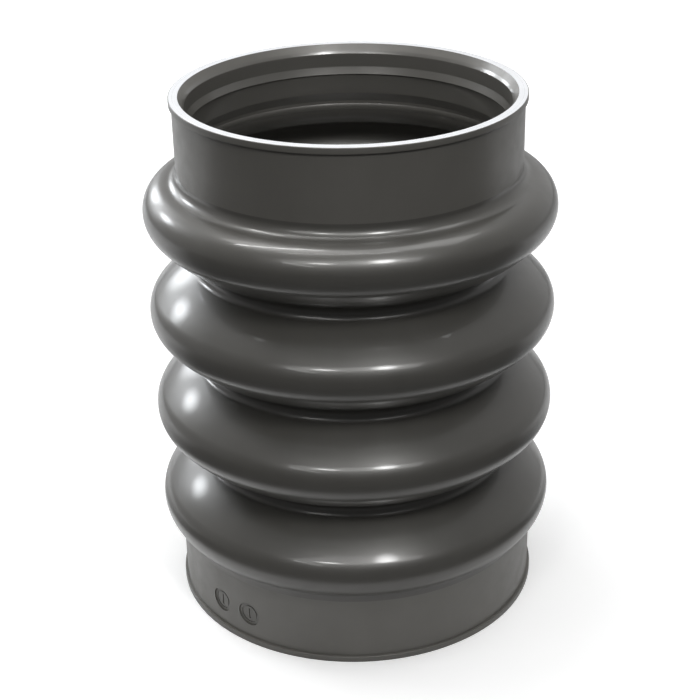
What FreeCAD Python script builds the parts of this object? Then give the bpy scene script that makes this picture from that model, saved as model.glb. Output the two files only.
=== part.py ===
import FreeCAD
import Part
import math
import os

os.makedirs("parts", exist_ok=True)

# Overall sizes, millimetres. z = 0 is the bottom face, +Z is the pipe axis.
total_height = 509.0
wall = 6.3
upper_radius = 161.95
lower_radius = 177.8

# Convolutions: full round crests and tight round roots, joined by slightly convex tangent flanks.
convolutions = 4
pitch = 100.6
first_crest_z = 100.5
crest_radius = 195.0
crest_arc = 26.0
flank_arc = 120.0
root_radius = 149.0
root_arc = 8.0
upper_fillet = 11.0
lower_fillet = 6.0

# Seams, ground flush outside.
seam_half = 3.0
attachment_depth = 62.0
attachment_width = 6.0
attachment_bead = 0.8

# End rings: an outward lip, a flat machined face and a bevelled mouth.
lip_height = 6.0
lip_out = 2.5
edge_break = 0.6
mouth_bevel_depth = 8.9
mouth_step = 5.65

# Seat rings inside each cuff.
seat_bevel_start = 21.8
seat_bevel_end = 28.9
seat_step = 2.8
seat_undercut = 2.0
seat_undercut_end = 29.7
seat_land_end = 49.3
seat_end = 59.0

# Screwed port plugs in the lower cuff, angles measured from -Y towards -X.
plug_radius = 12.2
plug_clearance = 0.1
plug_z = 31.5
plug_angles = (36.5, 48.5)
plug_face_drop = 1.6
plug_groove_outer = 9.4
plug_groove_inner = 8.0
plug_groove_depth = 0.6
plug_slot_width = 1.8
plug_slot_depth = 0.8
plug_slot_length = 11.0

# Derived circle centres and tangent angles of the convolution profile.
crest_centre_r = crest_radius - crest_arc
root_centre_r = root_radius + root_arc
centre_gap = math.hypot(root_centre_r - crest_centre_r, pitch / 2)
centre_lean = math.atan2(pitch / 2, root_centre_r - crest_centre_r)
flank_gap = flank_arc - crest_arc
tangent_square = (flank_arc + root_arc) ** 2 - flank_gap ** 2 - centre_gap ** 2
crest_end = centre_lean - math.acos(tangent_square / (2 * flank_gap * centre_gap))
flank_centre_r = crest_centre_r - flank_gap * math.cos(crest_end)
flank_drop = flank_gap * math.sin(crest_end)
flank_end = math.atan2(pitch / 2 + flank_drop, root_centre_r - flank_centre_r)


def crest_z(index):
    return first_crest_z + index * pitch


def root_z(index):
    return first_crest_z + (index + 0.5) * pitch


def vec(r, z):
    return FreeCAD.Vector(r, 0, z)


def revolve(edges):
    face = Part.Face(Part.Wire(edges))
    solid = face.revolve(FreeCAD.Vector(0, 0, 0), FreeCAD.Vector(0, 0, 1), 360)
    if solid.ShapeType != "Solid":
        solid = Part.Solid(Part.Shell(solid.Faces))
    if solid.Volume < 0:
        solid.reverse()
    return solid


def polygon_ring(points):
    closed = list(points) + [points[0]]
    edges = []
    for a, b in zip(closed[:-1], closed[1:]):
        edges.append(Part.LineSegment(vec(*a), vec(*b)).toShape())
    return revolve(edges)


def on_circle(centre, radius, angle):
    return (centre[0] + radius * math.cos(angle), centre[1] + radius * math.sin(angle))


def arc_edge(centre, radius, start, end):
    middle = (start + end) / 2
    p0 = vec(*on_circle(centre, radius, start))
    p1 = vec(*on_circle(centre, radius, middle))
    p2 = vec(*on_circle(centre, radius, end))
    return Part.Arc(p0, p1, p2).toShape()


def line_edge(a, b):
    return Part.LineSegment(vec(*a), vec(*b)).toShape()


def seam_angle(radius):
    """Angle on a circle at which the edge of a seam stands off its middle."""
    return math.asin(seam_half / radius)


def close_band(outer, inner):
    """Ring solid between an outer and an inner chain of edges that run the same way."""
    start = Part.LineSegment(inner[0].Vertexes[0].Point, outer[0].Vertexes[0].Point).toShape()
    end = Part.LineSegment(outer[-1].Vertexes[-1].Point, inner[-1].Vertexes[-1].Point).toShape()
    return revolve(Part.__sortEdges__([start, end] + outer + inner))


def flank_to_root(index, sign, inset):
    """Crest, flank and root arcs; sign +1 climbs, -1 descends; inset is the depth below the outside."""
    crest = (crest_centre_r, crest_z(index))
    flank = (flank_centre_r, crest[1] - sign * flank_drop)
    root = (root_centre_r, crest[1] + sign * pitch / 2)
    return [
        arc_edge(crest, crest_arc - inset, sign * seam_angle(crest_arc - inset), sign * crest_end),
        arc_edge(flank, flank_arc - inset, sign * crest_end, sign * flank_end),
        arc_edge(root, root_arc + inset, sign * (flank_end - math.pi),
                 sign * (seam_angle(root_arc + inset) - math.pi)),
    ]


def neck_to_cuff(index, sign, inset):
    """Crest arc, fillet and straight foot of the end convolutions, down to the attachment seam."""
    cuff_radius = upper_radius if sign > 0 else lower_radius
    fillet = upper_fillet if sign > 0 else lower_fillet
    crest = (crest_centre_r, crest_z(index))
    neck_r = cuff_radius + fillet
    rise = math.sqrt((crest_arc + fillet) ** 2 - (neck_r - crest_centre_r) ** 2)
    neck = (neck_r, crest[1] + sign * rise)
    meet = math.atan2(rise, neck_r - crest_centre_r)
    foot_z = end_height(attachment_depth + attachment_width, sign > 0)
    foot_r = cuff_radius - inset
    return [
        arc_edge(crest, crest_arc - inset, sign * seam_angle(crest_arc - inset), sign * meet),
        arc_edge(neck, fillet + inset, sign * (meet - math.pi), -sign * math.pi),
        line_edge((foot_r, neck[1]), (foot_r, foot_z)),
    ]


def half_shell(index, upward):
    """One pressed half of a convolution, from the seam at its crest to the seam at its root or cuff."""
    sign = 1 if upward else -1
    end_index = convolutions - 1 if upward else 0
    chain = neck_to_cuff if index == end_index else flank_to_root
    return close_band(chain(index, sign, 0), chain(index, sign, wall))


def crest_seam(index):
    """Narrow ring that closes the two halves of a convolution at its crest."""
    crest = (crest_centre_r, crest_z(index))
    outer = seam_angle(crest_arc)
    inner = seam_angle(crest_arc - wall)
    return close_band([arc_edge(crest, crest_arc, -outer, outer)],
                      [arc_edge(crest, crest_arc - wall, -inner, inner)])


def root_seam(index):
    """Narrow ring that joins one convolution to the next at the root."""
    root = (root_centre_r, root_z(index))
    outer = seam_angle(root_arc)
    inner = seam_angle(root_arc + wall)
    return close_band([arc_edge(root, root_arc, math.pi - outer, math.pi + outer)],
                      [arc_edge(root, root_arc + wall, math.pi - inner, math.pi + inner)])


def end_height(depth, top):
    return total_height - depth if top else depth


def end_ring(radius, top):
    """Lip ring with the flat end face, its broken outer edge and the bevelled mouth."""
    inner = radius - wall
    lip = radius + lip_out
    rings = [
        (inner, 0),
        (lip - edge_break, 0),
        (lip, edge_break),
        (lip, lip_height),
        (inner - mouth_step * lip_height / mouth_bevel_depth, lip_height),
    ]
    return polygon_ring([(r, end_height(d, top)) for r, d in rings])


def seat_ring(radius, top):
    """Stepped ring inside the cuff: a straight land, a bevel to a rib, a long land and a tapered end."""
    inner = radius - wall
    land = inner - mouth_step
    rib = land - seat_step
    back = rib + seat_undercut
    rings = [
        (inner, lip_height),
        (inner - mouth_step * lip_height / mouth_bevel_depth, lip_height),
        (land, mouth_bevel_depth),
        (land, seat_bevel_start),
        (rib, seat_bevel_end),
        (back, seat_undercut_end),
        (back, seat_land_end),
        (inner, seat_end),
    ]
    return polygon_ring([(r, end_height(d, top)) for r, d in rings])


def cuff(radius, top):
    """Plain pipe between the lip ring and the attachment seam."""
    inner = radius - wall
    rings = [
        (inner, lip_height),
        (radius, lip_height),
        (radius, attachment_depth),
        (inner, attachment_depth),
    ]
    return polygon_ring([(r, end_height(d, top)) for r, d in rings])


def attachment_seam(radius, top):
    """Seam between cuff and bellows: flush outside, a rounded bead inside."""
    inner = radius - wall
    near = end_height(attachment_depth, top)
    far = end_height(attachment_depth + attachment_width, top)
    bead_top = vec(inner - attachment_bead, (near + far) / 2)
    bead = Part.Arc(vec(inner, far), bead_top, vec(inner, near)).toShape()
    edges = [
        line_edge((inner, near), (radius, near)),
        line_edge((radius, near), (radius, far)),
        line_edge((radius, far), (inner, far)),
        bead,
    ]
    return revolve(Part.__sortEdges__(edges))


def plug_frame(angle):
    """Outward direction of a port, angle in degrees from -Y towards -X."""
    turn = math.radians(angle)
    return FreeCAD.Vector(-math.sin(turn), -math.cos(turn), 0)


def radial_cylinder(angle, radius, start, end):
    out = plug_frame(angle)
    base = out * start + FreeCAD.Vector(0, 0, plug_z)
    return Part.makeCylinder(radius, end - start, base, out)


def port_plug(angle):
    """Sunk screwed plug with a shallow ring groove and a plain screwdriver slot."""
    face = lower_radius - plug_face_drop
    back = lower_radius - wall
    body = radial_cylinder(angle, plug_radius, back, face)
    groove = radial_cylinder(angle, plug_groove_outer, face - plug_groove_depth, face + 1)
    dial = radial_cylinder(angle, plug_groove_inner, face - plug_groove_depth, face + 1)
    slot = Part.makeBox(plug_slot_width, plug_slot_depth + 1, plug_slot_length)
    slot.translate(FreeCAD.Vector(-plug_slot_width / 2, -face - 1, plug_z - plug_slot_length / 2))
    slot.rotate(FreeCAD.Vector(0, 0, 0), FreeCAD.Vector(0, 0, 1), -angle)
    return body.cut(groove.cut(dial)).cut(slot)


def lower_cuff_with_ports():
    shape = cuff(lower_radius, False)
    for angle in plug_angles:
        radius = plug_radius + plug_clearance
        hole = radial_cylinder(angle, radius, lower_radius - wall - 2, lower_radius + 2)
        shape = shape.cut(hole)
    return shape


nodes = {}
nodes["lower_end_ring"] = end_ring(lower_radius, False)
nodes["lower_seat_ring"] = seat_ring(lower_radius, False)
nodes["lower_cuff"] = lower_cuff_with_ports()
nodes["lower_attachment_seam"] = attachment_seam(lower_radius, False)
for number, angle in enumerate(plug_angles, 1):
    nodes[f"port_plug_{number}"] = port_plug(angle)
for index in range(convolutions):
    nodes[f"lower_shell_{index + 1}"] = half_shell(index, False)
    nodes[f"crest_seam_{index + 1}"] = crest_seam(index)
    nodes[f"upper_shell_{index + 1}"] = half_shell(index, True)
for index in range(convolutions - 1):
    nodes[f"root_seam_{index + 1}"] = root_seam(index)
nodes["upper_attachment_seam"] = attachment_seam(upper_radius, True)
nodes["upper_cuff"] = cuff(upper_radius, True)
nodes["upper_seat_ring"] = seat_ring(upper_radius, True)
nodes["upper_end_ring"] = end_ring(upper_radius, True)

for name, shape in nodes.items():
    solids = shape.Solids
    box = shape.BoundBox
    print(f"{name:24s} solids {len(solids)} valid {shape.isValid()} volume {shape.Volume:10.0f} "
          f"r {box.XMax:7.2f} z {box.ZMin:7.2f} {box.ZMax:7.2f}")
    shape.exportStep(f"parts/{name}.step")
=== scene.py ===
import bpy
import bmesh
import math
from mathutils import Matrix, Vector


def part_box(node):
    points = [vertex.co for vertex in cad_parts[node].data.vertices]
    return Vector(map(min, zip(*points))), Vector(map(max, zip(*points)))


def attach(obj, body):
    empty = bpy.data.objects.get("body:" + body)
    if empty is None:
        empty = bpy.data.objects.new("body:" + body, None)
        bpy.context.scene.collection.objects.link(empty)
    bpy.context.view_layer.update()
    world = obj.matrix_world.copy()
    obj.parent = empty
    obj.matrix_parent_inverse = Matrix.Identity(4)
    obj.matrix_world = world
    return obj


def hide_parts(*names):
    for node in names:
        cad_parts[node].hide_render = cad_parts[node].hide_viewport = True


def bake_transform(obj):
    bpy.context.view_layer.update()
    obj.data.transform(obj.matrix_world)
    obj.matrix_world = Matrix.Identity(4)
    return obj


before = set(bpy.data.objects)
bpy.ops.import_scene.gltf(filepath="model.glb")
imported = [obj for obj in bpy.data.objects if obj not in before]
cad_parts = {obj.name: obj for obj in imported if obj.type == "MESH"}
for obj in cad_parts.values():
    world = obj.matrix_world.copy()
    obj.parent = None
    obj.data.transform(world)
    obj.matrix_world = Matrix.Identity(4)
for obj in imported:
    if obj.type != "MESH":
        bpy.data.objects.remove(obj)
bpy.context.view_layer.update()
print("frame loaded")

# shared shape values, metres
shape = {
    "wall": 0.0063,
    "crestArc": 0.026,
    "flankArc": 0.12,
    "rootArc": 0.008,
    "upperFillet": 0.011,        # neck between the top convolution and the upper cuff
    "lowerFillet": 0.006,        # neck between the bottom convolution and the lower cuff
    "turns": 192,        # steps around the axis
    "arcStep": 3.0,              # degrees per step along an arc
    "hairStep": 0.3,             # short first and last step, keeps shading even across a seam
    "landSteps": 4,              # steps along a straight run of pipe
    "wallSteps": 2,              # steps across the wall
    "sharpAngle": 28.0,          # degrees, edges turned further stay crisp
    "sectionWeld": 1e-6,         # points of a section closer than this are one
    "turnedWeld": 1e-7,
}


def centreAndSize(node):
    low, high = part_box(node)
    return (low + high) / 2, (high - low) / 2


def crestZ(number):
    return centreAndSize(f"crest_seam_{number}")[0][2]


def rootZ(number):
    return centreAndSize(f"root_seam_{number}")[0][2]


crestRadius = centreAndSize("crest_seam_1")[1][0]
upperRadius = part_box("upper_cuff")[1][0]
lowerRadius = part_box("lower_cuff")[1][0]
seamHalf = centreAndSize("crest_seam_1")[1][2]
pitch = rootZ(2) - rootZ(1)
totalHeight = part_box("upper_end_ring")[1][2]

# circle centres and tangent angles of the convolution, measured from a crest
crestCentre = crestRadius - shape["crestArc"]
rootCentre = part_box("root_seam_1")[1][0] + math.sqrt(shape["rootArc"] ** 2 - seamHalf ** 2)
centreGap = math.hypot(rootCentre - crestCentre, pitch / 2)
flankGap = shape["flankArc"] - shape["crestArc"]
tangentSquare = (shape["flankArc"] + shape["rootArc"]) ** 2 - flankGap ** 2 - centreGap ** 2
rootLean = math.atan2(pitch / 2, rootCentre - crestCentre)
crestEnd = rootLean - math.acos(tangentSquare / (2 * flankGap * centreGap))
flankCentre = crestCentre - flankGap * math.cos(crestEnd)
flankDrop = flankGap * math.sin(crestEnd)
flankEnd = math.atan2(pitch / 2 + flankDrop, rootCentre - flankCentre)


# drawing a section with a pen, then turning it round the pipe axis

def penStart(bm, r, z):
    return bm.verts.new((r, 0, z))


def penLine(bm, pen, r, z, steps=1):
    startAt = pen.co.copy()
    for step in range(1, steps + 1):
        made = bmesh.ops.extrude_vert_indiv(bm, verts=[pen])
        pen = made["verts"][0]
        pen.co = startAt.lerp(Vector((r, 0, z)), step / steps)
    return pen


def penSweep(bm, pen, centre, degrees, steps):
    made = bmesh.ops.spin(
        bm, geom=[pen], cent=(centre[0], 0, centre[1]), axis=(0, -1, 0),
        angle=math.radians(degrees), steps=steps, use_merge=False, use_duplicate=False)
    return [g for g in made["geom_last"] if isinstance(g, bmesh.types.BMVert)][0]


def penArc(bm, pen, centre, degrees):
    hair = math.copysign(shape["hairStep"], degrees)
    rest = degrees - 2 * hair
    pen = penSweep(bm, pen, centre, hair, 1)
    pen = penSweep(bm, pen, centre, rest, max(2, round(abs(rest) / shape["arcStep"])))
    return penSweep(bm, pen, centre, hair, 1)


def turnRound(bm):
    bmesh.ops.remove_doubles(bm, verts=bm.verts[:], dist=shape["sectionWeld"])
    bmesh.ops.spin(
        bm, geom=bm.verts[:] + bm.edges[:], cent=(0, 0, 0), axis=(0, 0, 1),
        angle=math.radians(360), steps=shape["turns"], use_merge=True, use_duplicate=False)
    bmesh.ops.remove_doubles(bm, verts=bm.verts[:], dist=shape["turnedWeld"])
    bmesh.ops.recalc_face_normals(bm, faces=bm.faces[:])


def meshPiece(name, bm, materials):
    limit = math.radians(shape["sharpAngle"])
    for edge in bm.edges:
        edge.smooth = len(edge.link_faces) == 2 and edge.calc_face_angle(0) < limit
    for face in bm.faces:
        face.smooth = True
    mesh = bpy.data.meshes.new(name)
    bm.to_mesh(mesh)
    bm.free()
    piece = bpy.data.objects.new(name, mesh)
    bpy.context.scene.collection.objects.link(piece)
    for material in materials:
        mesh.materials.append(material)
    return piece


# surface effects shared by several finishes

def newGroup(name, inputs, outputs):
    group = bpy.data.node_groups.new(name, "ShaderNodeTree")
    for label, kind, value in inputs:
        socket = group.interface.new_socket(name=label, in_out="INPUT", socket_type=kind)
        socket.default_value = value
    for label, kind in outputs:
        group.interface.new_socket(name=label, in_out="OUTPUT", socket_type=kind)
    return group


def addNode(tree, kind, inputs=None, **settings):
    node = tree.nodes.new(kind)
    for key, value in settings.items():
        setattr(node, key, value)
    for key, value in (inputs or {}).items():
        if isinstance(value, bpy.types.NodeSocket):
            tree.links.new(value, node.inputs[key])
        else:
            node.inputs[key].default_value = value
    return node


def mathNode(tree, operation, a, b=None, clamp=False):
    values = {0: a} if b is None else {0: a, 1: b}
    return addNode(tree, "ShaderNodeMath", values, operation=operation, use_clamp=clamp).outputs[0]


def rangeNode(tree, value, low, high, toLow, toHigh):
    span = {"Value": value, "From Min": low, "From Max": high, "To Min": toLow, "To Max": toHigh}
    return addNode(tree, "ShaderNodeMapRange", span, clamp=True).outputs["Result"]


def noiseNode(tree, place, scale, detail, roughness):
    values = {"Vector": place, "Scale": scale, "Detail": detail, "Roughness": roughness}
    return addNode(tree, "ShaderNodeTexNoise", values).outputs[0]


def mixNode(tree, share, first, second):
    return addNode(tree, "ShaderNodeMix", {0: share, 6: first, 7: second}, data_type="RGBA").outputs[2]


def groupEnds(group):
    return addNode(group, "NodeGroupInput").outputs, addNode(group, "NodeGroupOutput").inputs


skinPattern = {
    "cloudScale": 9.0, "cloudDetail": 4.0, "cloudGrain": 0.55,
    "fineScale": 55.0, "fineDetail": 5.0, "fineGrain": 0.6,
    "peelScale": 260.0, "peelDetail": 1.0, "peelGrain": 0.4,
    "low": 0.3, "high": 0.7,         # the part of the noise that becomes -1 to 1
}


def makeCoatSkin():
    # sprayed coat: soft cloudiness in the colour, uneven gloss, fine orange peel
    group = newGroup(
        "coatSkin",
        [("Base", "NodeSocketColor", (0.1, 0.1, 0.09, 1)), ("Cloud", "NodeSocketFloat", 0.12),
         ("Roughness", "NodeSocketFloat", 0.3), ("Roughness Spread", "NodeSocketFloat", 0.06),
         ("Peel", "NodeSocketFloat", 0.2)],
        [("Color", "NodeSocketColor"), ("Roughness", "NodeSocketFloat"), ("Height", "NodeSocketFloat")])
    give, take = groupEnds(group)
    look = skinPattern
    place = addNode(group, "ShaderNodeTexCoord").outputs["Object"]
    broad = noiseNode(group, place, look["cloudScale"], look["cloudDetail"], look["cloudGrain"])
    swing = rangeNode(group, broad, look["low"], look["high"], -1.0, 1.0)
    lift = addNode(group, "ShaderNodeMath", {0: swing, 1: give["Cloud"], 2: 1.0}, operation="MULTIPLY_ADD")
    tinted = addNode(group, "ShaderNodeVectorMath", {0: give["Base"], "Scale": lift.outputs[0]},
                     operation="SCALE")
    fine = noiseNode(group, place, look["fineScale"], look["fineDetail"], look["fineGrain"])
    spread = rangeNode(group, fine, look["low"], look["high"], -1.0, 1.0)
    rough = mathNode(group, "MULTIPLY", spread, give["Roughness Spread"])
    peel = noiseNode(group, place, look["peelScale"], look["peelDetail"], look["peelGrain"])
    group.links.new(tinted.outputs[0], take["Color"])
    group.links.new(mathNode(group, "ADD", rough, give["Roughness"]), take["Roughness"])
    group.links.new(mathNode(group, "MULTIPLY", peel, give["Peel"]), take["Height"])
    return group


dustPattern = {
    "detail": 6.0, "grain": 0.65, "low": 0.35, "high": 0.75,
    "leanLow": 0.2, "leanHigh": 0.95,        # how far a face looks up before dust lies on it
}


def makeDustFall():
    # thin dust that settles on faces that look up, broken up by noise
    group = newGroup(
        "dustFall",
        [("Amount", "NodeSocketFloat", 0.2), ("Scale", "NodeSocketFloat", 16.0)],
        [("Mask", "NodeSocketFloat")])
    give, take = groupEnds(group)
    look = dustPattern
    facing = addNode(group, "ShaderNodeNewGeometry").outputs["Normal"]
    upward = addNode(group, "ShaderNodeSeparateXYZ", {0: facing}).outputs["Z"]
    lean = rangeNode(group, upward, look["leanLow"], look["leanHigh"], 0.0, 1.0)
    place = addNode(group, "ShaderNodeTexCoord").outputs["Object"]
    patch = noiseNode(group, place, give["Scale"], look["detail"], look["grain"])
    cover = rangeNode(group, patch, look["low"], look["high"], 0.0, give["Amount"])
    group.links.new(mathNode(group, "MULTIPLY", lean, cover, clamp=True), take["Mask"])
    return group


streakPattern = {
    "detail": 5.0, "grain": 0.7, "low": 0.35, "high": 0.7,
    "drawOut": (1.0, 1.0, 0.05),     # the noise is drawn out along the pipe axis
}


def makeRunStreaks():
    # faint marks drawn along the pipe axis, as left by rolling and wiping
    group = newGroup(
        "runStreaks",
        [("Amount", "NodeSocketFloat", 0.2), ("Width", "NodeSocketFloat", 60.0)],
        [("Mask", "NodeSocketFloat")])
    give, take = groupEnds(group)
    look = streakPattern
    place = addNode(group, "ShaderNodeTexCoord").outputs["Object"]
    drawn = addNode(group, "ShaderNodeMapping", {"Vector": place, "Scale": look["drawOut"]}).outputs[0]
    streak = noiseNode(group, drawn, give["Width"], look["detail"], look["grain"])
    group.links.new(rangeNode(group, streak, look["low"], look["high"], 0.0, give["Amount"]), take["Mask"])
    return group


linePattern = {"detail": 3.0, "grain": 0.7, "low": 0.3, "high": 0.7}


def makeTurningLines():
    # concentric tool lines on a faced end
    group = newGroup(
        "turningLines",
        [("Pitch", "NodeSocketFloat", 900.0), ("Depth", "NodeSocketFloat", 0.5)],
        [("Height", "NodeSocketFloat"), ("Mask", "NodeSocketFloat")])
    give, take = groupEnds(group)
    look = linePattern
    place = addNode(group, "ShaderNodeTexCoord").outputs["Object"]
    parts = addNode(group, "ShaderNodeSeparateXYZ", {0: place}).outputs
    flat = addNode(group, "ShaderNodeCombineXYZ", {0: parts[0], 1: parts[1]}).outputs[0]
    radius = addNode(group, "ShaderNodeVectorMath", {0: flat}, operation="LENGTH").outputs["Value"]
    along = addNode(group, "ShaderNodeCombineXYZ", {0: radius}).outputs[0]
    grooves = noiseNode(group, along, give["Pitch"], look["detail"], look["grain"])
    group.links.new(mathNode(group, "MULTIPLY", grooves, give["Depth"]), take["Height"])
    group.links.new(rangeNode(group, grooves, look["low"], look["high"], 0.0, 1.0), take["Mask"])
    return group


coatSkin = makeCoatSkin()
dustFall = makeDustFall()
runStreaks = makeRunStreaks()
turningLines = makeTurningLines()
print("surface effects ready")


def groupNode(tree, group, values):
    node = tree.nodes.new("ShaderNodeGroup")
    node.node_tree = group
    for key, value in values.items():
        node.inputs[key].default_value = value
    return node


def newFinish(name):
    material = bpy.data.materials.new(name)
    material.use_nodes = True
    return material, material.node_tree, material.node_tree.nodes["Principled BSDF"].inputs


def bumpNode(tree, height, look):
    values = {"Height": height, "Strength": look["bump"], "Distance": look["bumpDistance"]}
    return addNode(tree, "ShaderNodeBump", values).outputs[0]


def makeCoat(name, look):
    material, tree, skin = newFinish(name)
    coat = groupNode(tree, coatSkin, {
        "Base": (*look["colour"], 1), "Cloud": look["cloud"], "Roughness": look["roughness"],
        "Roughness Spread": look["roughnessSpread"], "Peel": look["peel"]}).outputs
    dust = groupNode(tree, dustFall, {"Amount": look["dust"], "Scale": look["dustScale"]}).outputs["Mask"]
    streak = groupNode(tree, runStreaks, {"Amount": look["streak"], "Width": look["streakWidth"]})
    marked = mixNode(tree, streak.outputs["Mask"], coat["Color"], (*look["streakColour"], 1))
    tree.links.new(mixNode(tree, dust, marked, (*look["dustColour"], 1)), skin["Base Color"])
    dull = mathNode(tree, "MULTIPLY", dust, look["dustDulls"])
    tree.links.new(mathNode(tree, "ADD", coat["Roughness"], dull, clamp=True), skin["Roughness"])
    tree.links.new(bumpNode(tree, coat["Height"], look), skin["Normal"])
    skin["Metallic"].default_value = look["metallic"]
    skin["Specular IOR Level"].default_value = look["specular"]
    skin["Coat Weight"].default_value = look["clear"]
    skin["Coat Roughness"].default_value = look["clearRoughness"]
    return material


bellowsLook = {
    "colour": (0.080, 0.077, 0.069), "cloud": 0.06, "roughness": 0.37, "roughnessSpread": 0.03,
    "peel": 0.25, "bump": 0.03, "bumpDistance": 0.0004,
    "metallic": 0.20, "specular": 0.9, "clear": 0.60, "clearRoughness": 0.07,
    "dust": 0.03, "dustScale": 14.0, "dustColour": (0.34, 0.33, 0.30), "dustDulls": 0.35,
    "streak": 0.05, "streakWidth": 30.0, "streakColour": (0.17, 0.165, 0.15),
}
# cuff copy of the coat: rougher and more streaked, with its base colour lifted above the bellows coat as
# painted light that brightens the cuffs, end ring sides and attachment seams
cuffLookPaintedLight = dict(bellowsLook, colour=(0.125, 0.120, 0.108), roughness=0.44, roughnessSpread=0.06,
                clear=0.25, clearRoughness=0.20, streak=0.25, streakWidth=14.0, cloud=0.08)
# seat copy of the coat: glossier, with its base colour lifted above the bellows coat as painted light that
# brightens the bevels and lands inside the mouth
seatLookPaintedLight = dict(bellowsLook, colour=(0.125, 0.121, 0.110), roughness=0.30, roughnessSpread=0.01,
                clear=0.8, dust=0.0, bump=0.01, streak=0.0, cloud=0.03)
plugLook = dict(bellowsLook, colour=(0.105, 0.101, 0.091), roughness=0.42, clear=0.15)

bellowsCoat = makeCoat("bellowsCoat", bellowsLook)
cuffCoatPaintedLight = makeCoat("cuffCoatPaintedLight", cuffLookPaintedLight)
seatCoatPaintedLight = makeCoat("seatCoatPaintedLight", seatLookPaintedLight)
plugCoat = makeCoat("plugCoat", plugLook)

faceLook = {
    "colour": (0.90, 0.91, 0.93), "lineColour": (0.80, 0.82, 0.85), "metallic": 0.2,
    "pitch": 900.0, "depth": 0.5, "bump": 0.2, "bumpDistance": 0.0003,
    "smoothest": 0.24, "roughest": 0.38,         # between and on the tool lines
    "dust": 0.25, "dustScale": 30.0, "dustColour": (0.55, 0.55, 0.54),
}


def makeFacedSteel(name, look):
    material, tree, skin = newFinish(name)
    lines = groupNode(tree, turningLines, {"Pitch": look["pitch"], "Depth": look["depth"]}).outputs
    dust = groupNode(tree, dustFall, {"Amount": look["dust"], "Scale": look["dustScale"]}).outputs["Mask"]
    shade = mixNode(tree, lines["Mask"], (*look["colour"], 1), (*look["lineColour"], 1))
    tree.links.new(mixNode(tree, dust, shade, (*look["dustColour"], 1)), skin["Base Color"])
    rough = rangeNode(tree, lines["Mask"], 0.0, 1.0, look["smoothest"], look["roughest"])
    tree.links.new(rough, skin["Roughness"])
    tree.links.new(bumpNode(tree, lines["Height"], look), skin["Normal"])
    skin["Metallic"].default_value = look["metallic"]
    return material


facedSteel = makeFacedSteel("facedSteel", faceLook)
print("finishes ready")


# bellows: pressed half shells, crest seams and root seams

def seamAngle(radius):
    return math.degrees(math.asin(seamHalf / radius))


def flankToRoot(number, sign):
    # arcs from the crest seam to the root seam: centre, radius, first and last angle, wall side
    z = crestZ(number)
    crestLast = math.degrees(crestEnd)
    flankLast = math.degrees(flankEnd)
    return [
        ((crestCentre, z), shape["crestArc"], None, crestLast, -1),
        ((flankCentre, z - sign * flankDrop), shape["flankArc"], crestLast, flankLast, -1),
        ((rootCentre, z + sign * pitch / 2), shape["rootArc"], flankLast - 180, None, 1),
    ]


def neckToCuff(number, sign):
    z = crestZ(number)
    fillet = shape["upperFillet"] if sign > 0 else shape["lowerFillet"]
    neckCentre = (upperRadius if sign > 0 else lowerRadius) + fillet
    rise = math.sqrt((shape["crestArc"] + fillet) ** 2 - (neckCentre - crestCentre) ** 2)
    lean = math.degrees(math.atan2(rise, neckCentre - crestCentre))
    return [
        ((crestCentre, z), shape["crestArc"], None, lean, -1),
        ((neckCentre, z + sign * rise), fillet, lean - 180, -180, 1),
    ]


def pointOn(centre, radius, sign, degrees):
    angle = math.radians(degrees)
    return centre[0] + radius * math.cos(angle), centre[1] + sign * radius * math.sin(angle)


def drawHalfShell(number, upward):
    sign = 1 if upward else -1
    wall = shape["wall"]
    toCuff = number == (4 if upward else 1)
    chain = neckToCuff(number, sign) if toCuff else flankToRoot(number, sign)
    faces = []       # the same chain of arcs for the outer and the inner face
    for depth in (0.0, wall):
        runs = []
        for centre, radius, first, last, side in chain:
            arc = radius + side * depth
            begin = seamAngle(arc) if first is None else first
            end = seamAngle(arc) - 180 if last is None else last
            runs.append((centre, arc, begin, end))
        faces.append(runs)
    outer, inner = faces
    bm = bmesh.new()
    start = pointOn(outer[0][0], outer[0][1], sign, outer[0][2])
    pen = penStart(bm, *start)
    for centre, arc, begin, end in outer:
        pen = penArc(bm, pen, centre, sign * (end - begin))
    if toCuff:
        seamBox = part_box("upper_attachment_seam" if upward else "lower_attachment_seam")
        foot = seamBox[0][2] if upward else seamBox[1][2]
        pen = penLine(bm, pen, pen.co.x, foot, shape["landSteps"])
        pen = penLine(bm, pen, pen.co.x - wall, foot, shape["wallSteps"])
        pen = penLine(bm, pen, pen.co.x, chain[-1][0][1], shape["landSteps"])
    else:
        centre, arc, begin, end = inner[-1]
        pen = penLine(bm, pen, *pointOn(centre, arc, sign, end), shape["wallSteps"])
    for centre, arc, begin, end in reversed(inner):
        pen = penArc(bm, pen, centre, -sign * (end - begin))
    penLine(bm, pen, *start, shape["wallSteps"])
    turnRound(bm)
    side = "upperShell" if upward else "lowerShell"
    piece = meshPiece(f"{side}{number}", bm, [bellowsCoat])
    return piece


def drawSeamRing(name, centre, arc, facing, body, node):
    # facing 1 looks outwards from its circle centre (crest), -1 inwards (root)
    inner = arc - facing * shape["wall"]
    outerHalf = math.radians(seamAngle(arc))
    innerHalf = math.radians(seamAngle(inner))
    foot = (centre[0] + facing * arc * math.cos(outerHalf), centre[1] - arc * math.sin(outerHalf))
    innerTop = (centre[0] + facing * inner * math.cos(innerHalf), centre[1] + inner * math.sin(innerHalf))
    bm = bmesh.new()
    pen = penStart(bm, *foot)
    pen = penArc(bm, pen, centre, facing * math.degrees(2 * outerHalf))
    pen = penLine(bm, pen, *innerTop, shape["wallSteps"])
    pen = penArc(bm, pen, centre, -facing * math.degrees(2 * innerHalf))
    penLine(bm, pen, *foot, shape["wallSteps"])
    turnRound(bm)
    piece = meshPiece(name, bm, [bellowsCoat])
    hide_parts(node)
    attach(piece, body)


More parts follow.
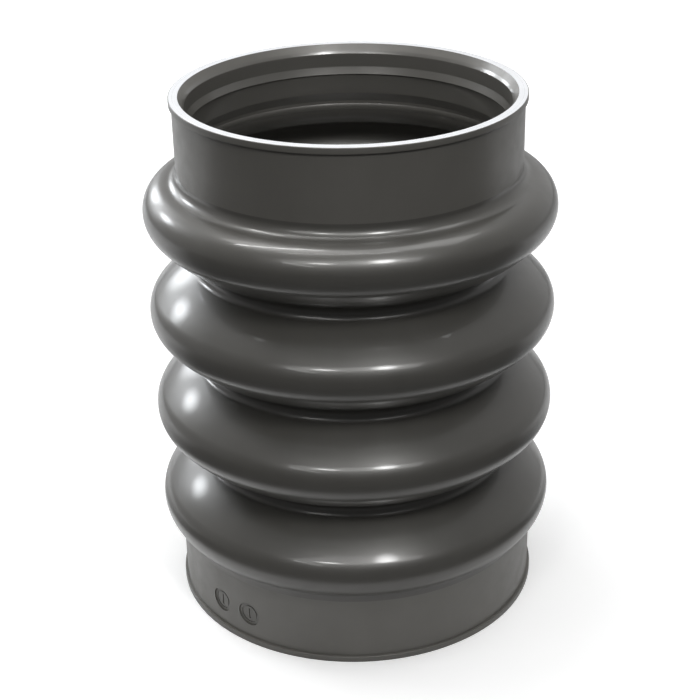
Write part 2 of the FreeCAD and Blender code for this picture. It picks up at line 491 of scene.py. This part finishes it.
for number in range(1, 5):
    crestBody = f"crest_{number}"
    lowerShell = drawHalfShell(number, False)
    upperShell = drawHalfShell(number, True)
    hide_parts(f"lower_shell_{number}")
    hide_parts(f"upper_shell_{number}")
    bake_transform(lowerShell)
    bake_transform(upperShell)
    drawSeamRing(f"crestSeam{number}", (crestCentre, crestZ(number)), shape["crestArc"], 1,
                 crestBody, f"crest_seam_{number}")
for number in range(1, 4):
    drawSeamRing(f"rootSeam{number}", (rootCentre, rootZ(number)), shape["rootArc"], -1,
                 f"root_{number}", f"root_seam_{number}")
print("bellows done")


# plain ends: end rings, seat rings and attachment seams, depths measured from the end face

endLook = {
    "lipRound": 0.0007,          # rounding of the lip edges
    "mouthStep": 0.00565,        # how far the first bevel comes in
    "mouthBevel": 0.0089,        # depth at its end
    "seatBevelStart": 0.0218,
    "seatBevelEnd": 0.0289,
    "seatStep": 0.0028,          # how far the second bevel comes in
    "undercut": 0.002,           # small step back behind it
    "undercutEnd": 0.0297,
    "seatLandEnd": 0.0493,
    "seatRound": 0.0006,
    "roundSteps": 5,
    "beadIn": 0.0008,            # height of the bead inside the attachment seam
    "flatWithin": 1e-5,          # a face this close to the end plane is the machined one
}


def ringFromSection(name, points, materials, rounds, amount):
    # a closed section of straight runs, with chosen corners rounded, turned round the axis
    bm = bmesh.new()
    pen = penStart(bm, *points[0])
    first = pen
    for point in points[1:]:
        pen = penLine(bm, pen, *point)
    bm.edges.new((pen, first))
    bm.verts.ensure_lookup_table()
    bmesh.ops.bevel(
        bm, geom=[bm.verts[i] for i in rounds], offset=amount, offset_type="OFFSET", affect="VERTICES",
        segments=endLook["roundSteps"], profile=0.5, material=-1)
    turnRound(bm)
    return meshPiece(name, bm, materials)


def atDepth(depth, top):
    return totalHeight - depth if top else depth


for top in (False, True):
    side = "upper" if top else "lower"
    body = f"{side}_end"
    radius = upperRadius if top else lowerRadius
    bore = radius - shape["wall"]
    ringLow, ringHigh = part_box(f"{side}_end_ring")
    seatLow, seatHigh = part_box(f"{side}_seat_ring")
    seamLow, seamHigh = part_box(f"{side}_attachment_seam")
    lip = ringHigh[0]
    lipDepth = ringHigh[2] - ringLow[2]
    seatEnd = totalHeight - seatLow[2] if top else seatHigh[2]
    land = bore - endLook["mouthStep"]
    rib = land - endLook["seatStep"]
    back = rib + endLook["undercut"]
    atLip = bore - endLook["mouthStep"] * lipDepth / endLook["mouthBevel"]

    ring = ringFromSection(
        f"{side}EndRing",
        [(bore, atDepth(0, top)), (lip, atDepth(0, top)), (lip, atDepth(lipDepth, top)),
         (atLip, atDepth(lipDepth, top))],
        [cuffCoatPaintedLight, facedSteel], [1, 2], endLook["lipRound"])
    for face in ring.data.polygons:
        flat = abs(face.center.z - atDepth(0, top)) < endLook["flatWithin"]
        face.material_index = 1 if flat else 0
    seat = ringFromSection(
        f"{side}SeatRing",
        [(bore, atDepth(lipDepth, top)), (atLip, atDepth(lipDepth, top)),
         (land, atDepth(endLook["mouthBevel"], top)),
         (land, atDepth(endLook["seatBevelStart"], top)), (rib, atDepth(endLook["seatBevelEnd"], top)),
         (back, atDepth(endLook["undercutEnd"], top)), (back, atDepth(endLook["seatLandEnd"], top)),
         (bore, atDepth(seatEnd, top))],
        [seatCoatPaintedLight], [2, 3, 6], endLook["seatRound"])
    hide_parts(f"{side}_end_ring")
    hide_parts(f"{side}_seat_ring")
    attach(ring, body)
    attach(seat, body)

    # attachment seam with its rounded bead inside
    lowZ = seamLow[2]
    highZ = seamHigh[2]
    halfWidth = (highZ - lowZ) / 2
    beadIn = endLook["beadIn"]
    beadArc = (halfWidth ** 2 + beadIn ** 2) / (2 * beadIn)
    beadHalf = math.degrees(math.asin(halfWidth / beadArc))
    beadCentre = (bore - beadIn + beadArc, (lowZ + highZ) / 2)
    bm = bmesh.new()
    pen = penStart(bm, bore, lowZ)
    for corner in ((radius, lowZ), (radius, highZ), (bore, highZ)):
        pen = penLine(bm, pen, *corner, shape["wallSteps"])
    penArc(bm, pen, beadCentre, 2 * beadHalf)
    turnRound(bm)
    seam = meshPiece(f"{side}AttachmentSeam", bm, [cuffCoatPaintedLight])
    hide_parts(f"{side}_attachment_seam")
    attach(seam, body)
print("ends done")

# cuffs and port plugs keep their frame shapes
for node, material in (("upper_cuff", cuffCoatPaintedLight), ("lower_cuff", cuffCoatPaintedLight),
                       ("port_plug_1", plugCoat), ("port_plug_2", plugCoat)):
    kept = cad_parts[node]
    kept.data.materials.clear()
    kept.data.materials.append(material)


# room, light and camera

floorLook = {
    "size": 9.0, "colour": (0.90, 0.90, 0.90), "roughness": 0.8, "specular": 0.1,
    "lift": 0.30, "farLift": 0.90, "liftStart": 0.8, "liftEnd": 3.0,     # as pale far off as at the foot
    # painted light on the floor, seen only in reflections and bounced light
    "far": 0.08,
    "near": 0.70, "nearRadius": 0.28, "farRadius": 0.40,     # painted pool of light round the foot
    "side": 1.15, "sideStart": 0.08, "sideEnd": 0.33,        # brighter at its left and right ends
    "back": 0.85, "backStart": -0.05, "backEnd": 0.40,       # painted pale light behind the part
}
bm = bmesh.new()
bmesh.ops.create_grid(bm, x_segments=2, y_segments=2, size=floorLook["size"])
floorMaterial, floorTree, floorSkin = newFinish("paleFloor")
# painted light on the floor for reflection and bounce rays: a pool of light round the foot, brighter at
# its left and right ends, a pale band behind the part, dim elsewhere; the camera sees the floor plain
# white
spot = addNode(floorTree, "ShaderNodeTexCoord").outputs["Object"]
away = addNode(floorTree, "ShaderNodeVectorMath", {0: spot}, operation="LENGTH").outputs["Value"]
across = addNode(floorTree, "ShaderNodeSeparateXYZ", {0: spot}).outputs
paintedRearLight = rangeNode(floorTree, across["Y"], floorLook["backStart"], floorLook["backEnd"], 0.0,
                 floorLook["back"])
aside = mathNode(floorTree, "ABSOLUTE", across["X"])
side = rangeNode(floorTree, aside, floorLook["sideStart"], floorLook["sideEnd"], floorLook["near"],
                 floorLook["side"])
fade = rangeNode(floorTree, away, floorLook["nearRadius"], floorLook["farRadius"], 1.0, 0.0)
patch = mathNode(floorTree, "MAXIMUM", mathNode(floorTree, "MULTIPLY", side, fade), floorLook["far"])
glow = mathNode(floorTree, "MAXIMUM", patch, paintedRearLight)
paintedFloorLight = addNode(floorTree, "ShaderNodeCombineXYZ", {0: glow, 1: glow, 2: glow}).outputs[0]
seen = addNode(floorTree, "ShaderNodeLightPath").outputs["Is Camera Ray"]
floorTree.links.new(mixNode(floorTree, seen, paintedFloorLight, (*floorLook["colour"], 1)), floorSkin["Base Color"])
lift = rangeNode(floorTree, away, floorLook["liftStart"], floorLook["liftEnd"], floorLook["lift"],
                 floorLook["farLift"])
floorTree.links.new(mathNode(floorTree, "MULTIPLY", seen, lift), floorSkin["Emission Strength"])
floorSkin["Emission Color"].default_value = (1, 1, 1, 1)
floorSkin["Roughness"].default_value = floorLook["roughness"]
floorSkin["Specular IOR Level"].default_value = floorLook["specular"]
floor = meshPiece("floor", bm, [floorMaterial])

# the room is plain white to the eye, bright behind the part and dim in front of it in reflections
worldLook = {"seen": 1.0, "front": 0.10, "back": 0.55, "turnFrom": -0.5, "turnTo": 0.8}
world = bpy.data.worlds.new("studio")
bpy.context.scene.world = world
world.use_nodes = True
worldTree = world.node_tree
background = worldTree.nodes["Background"]
toward = addNode(worldTree, "ShaderNodeTexCoord").outputs["Generated"]
depthWise = addNode(worldTree, "ShaderNodeSeparateXYZ", {0: toward}).outputs["Y"]
room = rangeNode(worldTree, depthWise, worldLook["turnFrom"], worldLook["turnTo"], worldLook["front"],
                 worldLook["back"])
path = addNode(worldTree, "ShaderNodeLightPath")
strength = addNode(worldTree, "ShaderNodeMix", {0: path.outputs["Is Camera Ray"], 2: room,
                                                3: worldLook["seen"]}, data_type="FLOAT")
background.inputs["Color"].default_value = (1, 1, 1, 1)
worldTree.links.new(strength.outputs[0], background.inputs["Strength"])


def softenEdge(data, fullOut):
    # strength falls off smoothly from fullOut to the lamp's edge, both as shares of its size
    data.use_nodes = True
    tree = data.node_tree
    face = addNode(tree, "ShaderNodeNewGeometry").outputs["Parametric"]
    middle = addNode(tree, "ShaderNodeVectorMath", {0: face, 1: (0.5, 0.5, 0.0)}, operation="SUBTRACT")
    flat = addNode(tree, "ShaderNodeVectorMath", {0: middle.outputs[0], 1: (1.0, 1.0, 0.0)},
                   operation="MULTIPLY")
    out = addNode(tree, "ShaderNodeVectorMath", {0: flat.outputs[0]}, operation="LENGTH").outputs["Value"]
    level = rangeNode(tree, out, fullOut, 0.5, 1.0, 0.0)
    level.node.interpolation_type = "SMOOTHSTEP"
    tree.links.new(level, tree.nodes["Emission"].inputs["Strength"])


def areaLight(name, look):
    data = bpy.data.lights.new(name, "AREA")
    data.shape = look.get("outline", "RECTANGLE")
    data.size = look["width"]
    data.size_y = look["length"]
    data.energy = look["watts"]
    data.color = look.get("colour", (1, 1, 1))
    if "softFrom" in look:
        softenEdge(data, look["softFrom"])
    light = bpy.data.objects.new(name, data)
    bpy.context.scene.collection.objects.link(light)
    place = Vector(look["place"])
    turn = (Vector(look["aim"]) - place).to_track_quat("-Z", "Y")
    spin = Matrix.Rotation(math.radians(look.get("spin", 0.0)), 4, "Z")
    light.matrix_world = Matrix.Translation(place) @ turn.to_matrix().to_4x4() @ spin


daylight = (0.94, 0.97, 1.0)
lightLook = {
    "frontPanel": {
        "place": (0.0, -1.95, 2.40), "aim": (0, 0, 0.3), "width": 3.4, "length": 0.7, "watts": 14},
    "topPanel": {
        "place": (0.0, 0.25, 2.45), "aim": (0, 0.1, 0.0), "width": 3.0, "length": 0.9, "watts": 20},
    "ceilingLamp": {
        "place": (0.65, -1.80, 2.3), "aim": (0.3, -0.9, 0.3), "width": 0.75, "length": 0.90,
        "watts": 48, "outline": "ELLIPSE", "softFrom": 0.08},
    "ceilingLampLeft": {
        "place": (-0.66, -2.00, 2.3), "aim": (-0.3, -0.9, 0.3), "width": 0.8, "length": 0.26,
        "watts": 17, "outline": "ELLIPSE", "softFrom": 0.1},
    "ceilingStripLeft": {
        "place": (-1.45, -2.55, 2.3), "aim": (-0.3, -0.9, 0.3), "width": 1.1, "length": 0.16,
        "watts": 3, "spin": -20},
    "windowSide": {
        "place": (-2.22, 1.60, 1.45), "aim": (0, 0, 0.3), "width": 1.0, "length": 0.8,
        "watts": 30, "colour": daylight, "outline": "ELLIPSE", "softFrom": 0.02},
    "windowRear": {
        "place": (-1.56, 2.40, 1.10), "aim": (0, 0, 0.3), "width": 1.0, "length": 1.3,
        "watts": 22, "colour": daylight, "outline": "ELLIPSE", "softFrom": 0.05},
    "windowGlow": {
        "place": (-2.20, 2.30, 1.45), "aim": (0, 0, 0.3), "width": 2.8, "length": 2.4,
        "watts": 26, "colour": daylight, "outline": "ELLIPSE", "softFrom": 0.1},
    "tubeNear": {
        "place": (-0.68, 0.19, 2.3), "aim": (-0.68, 0.19, 0.0), "width": 1.46, "length": 0.04,
        "watts": 9, "spin": 5},
    "tubeFar": {
        "place": (-0.17, -0.36, 2.3), "aim": (-0.17, -0.36, 0.0), "width": 1.42, "length": 0.025,
        "watts": 3.5, "spin": 3},
}
for name, look in lightLook.items():
    areaLight(name, look)
bpy.context.scene.view_settings.view_transform = "Standard"

cameraLook = {
    "place": (0.0, -1.3949, 0.9317), "pitch": 0.4603, "roll": -0.0196,
    "lens": 80.97, "sensor": 36.0, "shiftX": -0.0046, "shiftY": 0.0041,
}
cameraData = bpy.data.cameras.new("camera")
cameraData.lens = cameraLook["lens"]
cameraData.sensor_width = cameraLook["sensor"]
cameraData.shift_x = cameraLook["shiftX"]
cameraData.shift_y = cameraLook["shiftY"]
camera = bpy.data.objects.new("camera", cameraData)
bpy.context.scene.collection.objects.link(camera)
camera.matrix_world = (
    Matrix.Translation(cameraLook["place"])
    @ Matrix.Rotation(math.pi / 2 - cameraLook["pitch"], 4, "X")
    @ Matrix.Rotation(cameraLook["roll"], 4, "Z"))
bpy.context.scene.camera = camera
print("room, light and camera done")
